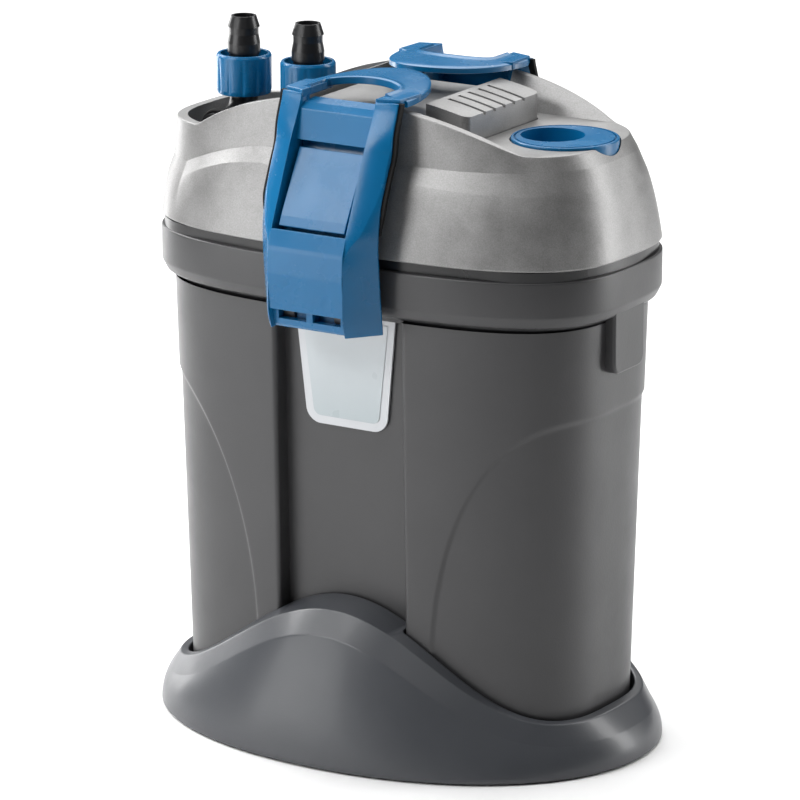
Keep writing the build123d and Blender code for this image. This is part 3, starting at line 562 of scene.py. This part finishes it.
def ring_at(z, steps, panel_steps):
    """Whole outline of the canister at a height, and its half length."""
    half_x, half_y = canister_size(z)
    right = lobe_path(half_x, half_y, steps)
    left = [(-x, -y) for x, y in right]
    ring = []
    for side in (right, left):
        ring += side
        x0, y0 = side[-1]
        x1 = -x0
        for i in range(1, panel_steps):
            ring.append((mix(x0, x1, i / panel_steps), y0))
    return ring, half_x


def build_canister():
    """Canister wall with recessed panels and stepped lobes, closed at the bottom."""
    heights = [CANISTER_LOW[2] + 1.1 * i for i in range(206)] + [CANISTER_TOP]
    steps, panel_steps = 300, 30
    vertices = []
    for z in heights:
        ring, half_x = ring_at(z, steps, panel_steps)
        for x, y in ring:
            on_lobe = smooth_step(PANEL_HALF + 3, PANEL_HALF + 6, abs(x))
            depth = LOBE_DEPTH * lobe_step(x, z, half_x) * on_lobe
            vertices.append((x * (1 - depth / 130), y * (1 - depth / 75), z))
    count = len(ring)
    centre = len(vertices)
    vertices.append((0, 0, heights[0]))
    faces = grid_faces(count, len(heights)) + fan(count, 0, centre)
    piece = new_piece("canister_shell", vertices, faces, "filter", "canister_plastic")
    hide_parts("canister")
    shade_by_angle(piece, 50)


def build_collar():
    """Swollen band round the canister's mouth."""
    count = 480
    # outward distance and height, from inside the wall over the outside to the bore
    profile = round_profile([(-9.5, 241.0), (-7.2, 243.5), (-2.5, 246.0), (0, 251.5), (0, COLLAR_TOP),
                             (-8, COLLAR_TOP), (-8, 246.5)], [2.0, 3.5, 4.5, 1.2, 1.0], steps=6)
    vertices = []
    for out, z in profile:
        for i in range(count):
            turn = 2 * math.pi * i / count
            vertices.append((*superellipse(COLLAR[0] + out, COLLAR[1] + out, turn, SQUARENESS), z))
    faces = grid_faces(count, len(profile))
    # the profile is a closed loop, so the last ring joins the first
    last = (len(profile) - 1) * count
    for i in range(count):
        right = (i + 1) % count
        faces.append((last + i, last + right, right, i))
    piece = new_piece("canister_collar", vertices, faces, "filter", "canister_plastic")
    shade_by_angle(piece, 50)


def build_end_tab():
    """Pad under the collar at the +X end, with rounded lower corners."""
    outline = [(-TAB_HALF, TAB_HIGH), (-TAB_HALF, TAB_LOW), (TAB_HALF, TAB_LOW), (TAB_HALF, TAB_HIGH)]
    outline = round_profile(outline, [TAB_CORNER, TAB_CORNER], steps=8)
    vertices = [(x, y, z) for x in (120.0, TAB_FACE) for y, z in outline]
    piece = new_piece("canister_end_tab", vertices, closed_faces(len(outline), 2), "filter",
                      "canister_plastic", smooth=False)
    bevel(piece, 1.6, segments=4)


def build_hinge_lugs():
    """Ears on the collar that hold the latch pins."""
    outline = [(-76.0, 262.0), (HINGE_Y, HINGE_Z + LUG_RADIUS)]
    for i in range(1, 12):
        turn = math.pi / 2 + math.pi * i / 12
        outline.append((HINGE_Y + LUG_RADIUS * math.cos(turn), HINGE_Z + LUG_RADIUS * math.sin(turn)))
    outline += [(HINGE_Y, HINGE_Z - LUG_RADIUS), (-76.0, 252.0)]
    for place, side in (("rear", -1), ("front", 1)):
        for k, x in enumerate(LUG_SPOTS):
            vertices = [(px, side * y, z) for px in (x, x + LUG_WIDTH) for y, z in outline]
            piece = new_piece(f"hinge_lug_{place}_{k + 1}", vertices, closed_faces(len(outline), 2),
                              "filter", "canister_plastic", smooth=False)
            fix_normals(piece)
            bevel(piece, 0.6, segments=2)


# ---- pump head -----------------------------------------------------------------------
def lower_ridge(x):
    """Height of the crease above the belly; it drops towards the connector end."""
    return 315.8 - 2.0 * smooth_step(20, 90, x) - 0.0044 * min(63.0, max(0.0, -47 - x)) ** 2


def upper_ridge(x):
    """Height of the second crease, which falls away to the open end."""
    return 324.0 + 1.5 * smooth_step(60, 125, x) - 0.039 * min(58.0, max(0.0, -51 - x)) ** 1.5


def crown_edge(x):
    """Height of the arched top edge."""
    arch = 354.3 - x * x / 443 - 0.0018 * max(0.0, -60 - x) ** 2
    floor = 327.5 if x < 0 else DECK_Z
    return floor + math.log(1 + math.exp(min(60.0, (arch - floor) / 0.8))) * 0.8


def head_profile(angle):
    """Points of the head's outer surface at one angle, from the parting line to the top."""
    start, belly, ridge, upper, rim = [superellipse(left if math.cos(angle) < 0 else right, depth, angle,
                                                    SQUARENESS) for left, right, depth in HEAD_LEVELS]
    start_z = BAND_TOP + 0.6
    ridge_z = lower_ridge(ridge[0])
    belly_z = mix(start_z, ridge_z, 0.62)
    upper_z = upper_ridge(upper[0])
    rim_z = crown_edge(rim[0])
    points = [(*superellipse(*HEAD_FOOT, angle, SQUARENESS), BAND_TOP), (*start, start_z)]
    # the belly bulges between the parting line and the lower ridge
    for i in range(1, 15):
        t = i / 15
        weights = (1 - t) ** 2, 2 * t * (1 - t), t * t
        points.append(tuple(sum(w * v for w, v in zip(weights, values)) for values in
                            zip((*start, start_z), (*belly, belly_z), (*ridge, ridge_z))))
    points += [(*ridge, ridge_z), (*upper, upper_z)]
    for i in (1, 2, 3):
        points.append(tuple(mix(low, high, i / 4) for low, high in zip((*upper, upper_z), (*rim, rim_z))))
    points.append((*rim, rim_z))
    inner_x = rim[0] * 0.985
    points.append((inner_x, rim[1] * 0.97, crown_edge(inner_x)))
    return round_profile(points, [0.8] + [0] * 14 + [1.3, 1.6, 0, 0, 0, 1.1], steps=4)


def cutter(name, vertices, faces):
    """Solid that is only there to be cut from a piece."""
    mesh = bpy.data.meshes.new(name)
    mesh.from_pydata([[c * MM for c in v] for v in vertices], [], faces)
    solid = bpy.data.objects.new(name, mesh)
    bpy.context.scene.collection.objects.link(solid)
    fix_normals(solid)
    return solid


def prism(name, outline, low, high, axis):
    """Cutter made of a flat outline swept along an axis (0, 1 or 2)."""
    vertices = []
    for level in (low, high):
        for point in outline:
            coords = list(point)
            coords.insert(axis, level)
            vertices.append(coords)
    return cutter(name, vertices, closed_faces(len(outline), 2))


def circle_outline(x, y, radius):
    """Points round a circle."""
    turns = [2 * math.pi * i / 96 for i in range(96)]
    return [(x + radius * math.cos(turn), y + radius * math.sin(turn)) for turn in turns]


def rounded_box(x0, x1, y0, y1, radius):
    """Points round a rectangle with rounded corners."""
    corners = [(x1, y0, -90), (x1, y1, 0), (x0, y1, 90), (x0, y0, 180)]
    out = []
    for x, y, start in corners:
        cx = x - radius if x == x1 else x + radius
        cy = y - radius if y == y1 else y + radius
        for i in range(9):
            turn = math.radians(start + 90 * i / 8)
            out.append((cx + radius * math.cos(turn), cy + radius * math.sin(turn)))
    return out


def cut(piece, solids):
    """Takes solids out of a piece and removes them from the scene."""
    for solid in solids:
        change = piece.modifiers.new("cut", "BOOLEAN")
        change.operation = "DIFFERENCE"
        change.solver = "EXACT"
        change.object = solid
    bake_modifiers(piece)
    for solid in solids:
        bpy.data.objects.remove(solid)


def build_head():
    """Head cover: arched top, channel for the latches, connector pocket, button hole, cap seat, notches."""
    count = 720
    columns = [head_profile(2 * math.pi * (i + 0.5) / count) for i in range(count)]
    rows = len(columns[0])
    vertices = [columns[i][row] for row in range(rows) for i in range(count)]
    faces = grid_faces(count, rows)
    # the arched top: straight lines across from the front edge to the rear edge
    top = (rows - 1) * count
    half = count // 2
    faces += [(top + i, top + i + 1, top + count - 2 - i, top + count - 1 - i) for i in range(half - 1)]
    bottom = len(vertices)
    vertices.append((0, 0, BAND_TOP))
    faces += fan(count, 0, bottom)
    piece = new_piece("head_cover_shell", vertices, faces, "filter", "head_plastic")
    trough = [(-CHANNEL_LOW, DECK_Z), (CHANNEL_LOW, DECK_Z), (CHANNEL_HIGH, CHANNEL_TOP),
              (-CHANNEL_HIGH, CHANNEL_TOP)]
    wall = [superellipse(*POCKET_WALL, 2 * math.pi * i / 240, SQUARENESS) for i in range(240)]
    wall = [(x, y) for x, y in wall if x < POCKET_END - 1]
    end_y = half_depth(*POCKET_WALL, POCKET_END)
    cuts = [prism("channel", trough, POCKET_END + 2, 150, 0),
            prism("pocket", [(POCKET_END, end_y)] + wall + [(POCKET_END, -end_y)], POCKET_Z, ABOVE, 2),
            prism("button_hole", rounded_box(*BUTTON_HOLE, BUTTON_CORNER), 322, ABOVE, 2),
            prism("seat", circle_outline(SEAT_X, 0, SEAT_RADIUS), SEAT_Z, ABOVE, 2)]
    for side in (-1, 1):
        outline = [(side * y, z) for y, z in NOTCH_OUTLINE]
        cuts.append(prism(f"notch{side}", outline, -NOTCH_HALF, NOTCH_HALF, 0))
    cut(piece, cuts)
    open_underside(piece)
    shade_by_angle(piece, 24)
    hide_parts("head_cover")


def open_underside(piece):
    """Removes the flat face that lies on the parting line, where the chassis closes the head."""
    shape = bmesh.new()
    shape.from_mesh(piece.data)
    low = [f for f in shape.faces if max(v.co.z for v in f.verts) < (BAND_TOP + 0.01) * MM]
    bmesh.ops.delete(shape, geom=low, context="FACES")
    shape.to_mesh(piece.data)
    shape.free()


# ---- latches -------------------------------------------------------------------------
def through(points, z):
    """Value at a height on a smooth-cornered line of (value, height) points."""
    for (v0, z0), (v1, z1) in zip(points, points[1:]):
        if z0 <= z <= z1:
            return mix(v0, v1, (z - z0) / (z1 - z0))
    return points[0][0] if z < points[0][1] else points[-1][0]


def smoothed(points, z, reach=3.0):
    """The line averaged over a short span, so its corners are rounded."""
    spots = [through(points, z + reach * (i / 4 - 1)) for i in range(9)]
    return sum(spots) / len(spots)


def rail_section(z):
    """Right rail cut at a height, round from its inner front edge."""
    front = smoothed(RAIL_FRONT, z)
    edge = smoothed(RAIL_EDGE, z)
    back = smoothed(RAIL_BACK, z)
    x_crease = min(RAIL_OUTER - 0.5, smoothed(RAIL_CREASE, z, 2.0))
    slope = 0.50 if z < 335 else mix(0.50, 0.2, smooth_step(335, 350, z))
    y_crease = min(front + slope * (x_crease - RAIL_INNER), edge - 0.3)
    return [(RAIL_INNER, front), (x_crease, y_crease), (RAIL_OUTER, edge), (RAIL_OUTER - 0.2, edge + 1.2),
            (RAIL_OUTER - 4.5, max(back, edge + 2.5)), (RAIL_INNER, max(back, edge + 2.5))]


def shadow_strip(z):
    """Strip of painted shadow that outlines the latch, just behind the rail's outer edge: a dark piece
    where the gap to the head lies in shade.
    """
    edge = smoothed(RAIL_EDGE, z) + 1.2
    reach = 1.9 * smooth_step(290, 305, z)
    return [(RAIL_OUTER - 3, edge), (RAIL_OUTER + reach, edge), (RAIL_OUTER + reach, edge + 2.2),
            (RAIL_OUTER - 3, edge + 2.2)]


def loft(name, sections, heights, body, slot):
    """Closed solid through like polygons at heights."""
    vertices = [(x, y, z) for section, z in zip(sections, heights) for x, y in section]
    faces = closed_faces(len(sections[0]), len(sections))
    piece = new_piece(name, vertices, faces, body, slot, smooth=False)
    fix_normals(piece)
    return piece


def swept(name, outline, x_low, x_high, body, width, fold=0.0):
    """Blue plate from a (y, z) outline across x, with rounded edges and perhaps a shallow middle fold."""
    stations = [(x_low, 0.0), ((x_low + x_high) / 2, fold), (x_high, 0.0)]
    vertices = [(x, y - lift, z) for x, lift in stations for y, z in outline]
    faces = closed_faces(len(outline), len(stations))
    piece = new_piece(name, vertices, faces, body, "blue_plastic", smooth=False)
    fix_normals(piece)
    if width:
        bevel(piece, width, angle=35)
    return piece


def thick_line(points, thickness):
    """Outline of a plate that follows (y, z) points on its outer side."""
    inner = []
    for i, (y, z) in enumerate(points):
        y0, z0 = points[max(0, i - 1)]
        y1, z1 = points[min(len(points) - 1, i + 1)]
        length = math.hypot(y1 - y0, z1 - z0)
        inner.append((y + thickness * (z1 - z0) / length, z - thickness * (y1 - y0) / length))
    return points + inner[::-1]


def arch_height(x):
    """Height of the finger grip's top at a place across it."""
    return 361.3 - 0.0026 * x * x


def grip_point(angle, share):
    """Plan position on the finger grip; share runs from the inner to the outer edge."""
    c, s = math.cos(angle), math.sin(angle)
    outer = (GRIP_OUTER[0] * c, GRIP_ROOT + GRIP_OUTER[1] * s)
    if s < GRIP_STRAIGHT:
        inner = (math.copysign(GRIP_INNER[0], c), mix(GRIP_ROOT, GRIP_BEND, s / GRIP_STRAIGHT))
    else:
        turn = math.asin(min(1.0, (s - GRIP_STRAIGHT) / (1 - GRIP_STRAIGHT)))
        inner = (math.copysign(GRIP_INNER[0] * math.cos(turn), c),
                 GRIP_BEND + GRIP_INNER[1] * math.sin(turn))
    return mix(inner[0], outer[0], share), mix(inner[1], outer[1], share)


def build_grip(tag, body):
    """Arched finger grip with a raised inner lip."""
    columns, across = 120, (0.0, 0.02, 0.06, 0.10, 0.16, 0.22, 0.4, 0.6, 0.8, 0.93, 0.975, 1.0)
    vertices = []
    for i in range(columns + 1):
        angle = math.pi * i / columns
        for share in across:
            x, y = grip_point(angle, share)
            lip = 0.7 * (1 - smooth_step(0.08, 0.18, share)) - 0.5 * smooth_step(0.95, 1.0, share)
            lip -= 0.5 * (1 - smooth_step(0.0, 0.03, share))
            vertices.append((x, y, arch_height(x) + lip))
        for share in reversed(across):
            x, y = grip_point(angle, share)
            soft = 0.5 * smooth_step(0.95, 1.0, share) + 0.5 * (1 - smooth_step(0.0, 0.03, share))
            vertices.append((x, y, arch_height(x) - 3.6 + soft))
    faces = closed_faces(2 * len(across), columns + 1)
    piece = new_piece(f"{tag}_arch", vertices, faces, body, "blue_plastic")
    fix_normals(piece)
    shade_by_angle(piece, 40)
    return piece


def on_side(section, side):
    """A section of the right side, or with side -1 its mirror image on the left."""
    return [(side * x, y) for x, y in section]


def latch_side(tag, word, side, body):
    """Rail, shoulder pad and painted-shadow edge strip of one side."""
    heights = [RAIL_LOW + RAIL_RISE * i / 90 for i in range(91)]
    sections = [on_side(rail_section(z), side) for z in heights]
    rail = loft(f"{tag}_rail_{word}", sections, heights, body, "blue_plastic")
    bevel(rail, 0.7, angle=16)
    shade_by_angle(rail, 24)
    sections = [on_side(SHOULDER, side)] * 2
    pad = loft(f"{tag}_shoulder_{word}", sections, SHOULDER_HEIGHTS, body, "blue_plastic")
    bevel(pad, 0.6)
    heights = heights[40:]
    # the dark strip is painted shadow: a piece in the black rubber material, put where the gap behind the
    # rail's outer edge lies in shade
    sections = [on_side(shadow_strip(z), side) for z in heights]
    strip = loft(f"{tag}_painted_shadow_strip_{word}", sections, heights, body, "rubber")
    shade_by_angle(strip, 30)
    return [rail, pad, strip]


def latch_plates(tag, body):
    """Plates, bars and posts between the rails."""
    lower = round_profile([(-97.6, 290.2), (-101.0, 281), (-101.6, 268), (-100.2, 249)], [8, 12], steps=8)
    plates = (
        ("upper_panel", [(-77, 334), (-72.5, 349.5), (-68.5, 352.5), (-58, 353.4), (-58, 351),
                         (-67.5, 349.6), (-70.8, 347.4), (-74.4, 334)], 0.5),
        ("lower_panel", thick_line(lower[::-1], -3.2), 0.5),
        ("web", [(-90.5, 286), (-67.5, 336), (-66.0, 335), (-88.5, 284.5)], 0),
        ("slot_back", [(-93.5, 252), (-93.5, 240), (-91.5, 240), (-91.5, 252)], 0),
        ("bottom_bar", [(-99.9, 243.4), (-99.0, 240), (-97.6, 238.4), (-91.5, 238.4), (-91.5, 243.4)], 0.5))
    pieces = [swept(f"{tag}_{name}", outline, -PLATE_REACH, PLATE_REACH, body, width)
              for name, outline, width in plates]
    post = [(-100.3, 250.5), (-99.8, 242.5), (-91.6, 242.5), (-91.6, 250.5)]
    for k, (low, high) in enumerate(((-PLATE_REACH, -19), (-2, 2), (19, PLATE_REACH))):
        pieces.append(swept(f"{tag}_slot_post_{k + 1}", post, low, high, body, 0.3))
    return pieces


def build_latch(tag, body):
    """Front latch as built; the rear one is the same set turned half round."""
    pieces = latch_side(tag, "right", 1, body) + latch_side(tag, "left", -1, body) + latch_plates(tag, body)
    face = thick_line([(-97.8, 292.5), (-95.5, 297.5), (-79.4, 326.5), (-77.2, 330.5)], 3.0)
    insert = swept(f"{tag}_insert", face, -INSERT_REACH, INSERT_REACH, body, 0.5, fold=0.55)
    pieces += [insert, build_grip(tag, body)]
    if body == "rear_latch":
        for piece in pieces:
            for vertex in piece.data.vertices:
                vertex.co.x *= -1
                vertex.co.y *= -1
    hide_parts(f"{body}_frame")
    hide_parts(f"{body}_plate")


# ---- hose nuts -----------------------------------------------------------------------
def build_nut(tag, centre_x):
    """Union nut with broad grips between shallow grooves."""
    count = 192
    profile = round_profile([(13.2, 337.2), (14.4, 335.6), (15.0, 338.0), (15.0, 356.2), (14.2, 357.6),
                             (12.7, 357.6), (12.7, 352.8), (9.0, 352.8)], [0.3, 1.4, 1.6, 0.6, 0.4, 0.2])
    vertices = []
    for radius, z in profile:
        groove = smooth_step(13.6, 14.6, radius)
        groove *= smooth_step(336.5, 339.0, z) * (1 - smooth_step(352.5, 355.0, z))
        for i in range(count):
            turn = 2 * math.pi * i / count
            swing = math.cos(NUT_GRIPS * turn)
            r = radius - groove * (0.85 * (0.5 + 0.5 * swing) ** 6 + 0.175 * swing)
            vertices.append((centre_x + r * math.cos(turn), r * math.sin(turn), z))
    faces = grid_faces(count, len(profile))
    nut = new_piece(f"{tag}_nut_look", vertices, faces, f"{tag}_nut", "blue_plastic")
    shade_by_angle(nut, 40)
    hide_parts(f"{tag}_union_nut")


# ---- priming spring ------------------------------------------------------------------
def build_spring():
    """Coil under the priming button, built at the fixed length of the priming spring's box; the real spring
    shortens as the button goes down.
    """
    low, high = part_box("priming_spring")
    centre = (low + high) / 2 / MM
    radius = (high.x - low.x) / 2 / MM - SPRING_WIRE
    start = low.z / MM + SPRING_WIRE
    rise = (high.z - low.z) / MM - 2 * SPRING_WIRE
    steps, around = 48 * SPRING_TURNS, 10       # along the wire and round it
    vertices = []
    for i in range(steps + 1):
        turn = 2 * math.pi * SPRING_TURNS * i / steps
        for k in range(around):
            spin = 2 * math.pi * k / around
            reach = radius + SPRING_WIRE * math.cos(spin)
            vertices.append((centre.x + reach * math.cos(turn), centre.y + reach * math.sin(turn),
                             start + rise * i / steps + SPRING_WIRE * math.sin(spin)))
    coil = new_piece("priming_coil", vertices, closed_faces(around, steps + 1), "filter", "steel")
    fix_normals(coil)
    shade_by_angle(coil, 50)
    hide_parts("priming_spring")
    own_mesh(coil)


# ---- camera, floor and light ---------------------------------------------------------
def aim(holder, azimuth, elevation, distance, target):
    """Places something so that it looks at a target; azimuth 0 is in front and 90 on the +X side."""
    a = math.radians(azimuth)
    e = math.radians(elevation)
    direction = Vector((math.sin(a) * math.cos(e), -math.cos(a) * math.cos(e), math.sin(e)))
    holder.location = Vector(target) + direction * distance
    holder.rotation_euler = (-direction).to_track_quat("-Z", "Y").to_euler()


def build_camera():
    """The photo's camera, fitted to the outlines of the stand, canister, collar and head."""
    camera = bpy.data.objects.new("camera", bpy.data.cameras.new("camera"))
    bpy.context.scene.collection.objects.link(camera)
    bpy.context.scene.camera = camera
    aim(camera, CAMERA_AZIMUTH, CAMERA_ELEVATION, CAMERA_DISTANCE, CAMERA_TARGET)
    camera.data.sensor_width = SENSOR
    camera.data.lens = LENS
    camera.data.clip_end = 50


def area_light(name, azimuth, elevation, distance, size, power, target=(0, 0, 0.18)):
    """Soft box that faces the object."""
    light = bpy.data.lights.new(name, "AREA")
    light.shape = "RECTANGLE"
    light.size, light.size_y = size
    light.energy = power
    holder = bpy.data.objects.new(name, light)
    bpy.context.scene.collection.objects.link(holder)
    aim(holder, azimuth, elevation, distance, target)


def build_studio():
    """Pale floor, dim world and soft boxes."""
    paint = Nodes("studio_floor")
    tone = paint.ramp(paint.noise(2, detail=2), [(0.3, (0.86, 0.86, 0.86)), (0.7, (0.88, 0.88, 0.88))])
    paint.join(tone, paint.shader.inputs["Base Color"])
    paint.shader.inputs["Roughness"].default_value = 0.6
    mesh = bpy.data.meshes.new("floor")
    mesh.from_pydata([(-12, -12, 0), (12, -12, 0), (12, 12, 0), (-12, 12, 0)], [], [(0, 1, 2, 3)])
    mesh.materials.append(paint.material)
    floor = bpy.data.objects.new("floor", mesh)
    bpy.context.scene.collection.objects.link(floor)
    world = bpy.data.worlds.new("studio")
    bpy.context.scene.world = world
    world.use_nodes = True
    background = world.node_tree.nodes["Background"]
    background.inputs["Color"].default_value = (1, 1, 1, 1)
    background.inputs["Strength"].default_value = 0.06
    area_light("left_rim", -106, 14, 1.3, (0.36, 1.6), 10)
    area_light("left_high", -84, 36, 1.5, (0.6, 0.5), 11)
    area_light("left_fill", -36, 3, 1.9, (1.2, 1.1), 16)
    area_light("front_high", -30, 36, 1.8, (1.1, 0.42), 12)
    area_light("front_glow", -42, 60, 1.5, (0.7, 0.5), 7)
    area_light("right_high", 34, 46, 1.8, (0.7, 0.5), 1.5)
    area_light("right_rim", 130, 16, 1.3, (0.34, 1.6), 13)
    area_light("top_box", 50, 76, 1.7, (1.0, 0.6), 3.5)
    area_light("back_sky", 0, 90, 2.3, (3.4, 3.0), 128, target=(-1.2, 1.9, 0))
    bpy.context.scene.view_settings.view_transform = "Standard"


build_camera()
build_studio()
paint_cad_nodes()
build_stand()
build_canister()
build_collar()
build_end_tab()
build_hinge_lugs()
build_head()
for latch in ("front_latch", "rear_latch"):
    build_latch(f"{latch}_look", latch)
for union, place in UNION_X.items():
    build_nut(union, place)
build_spring()
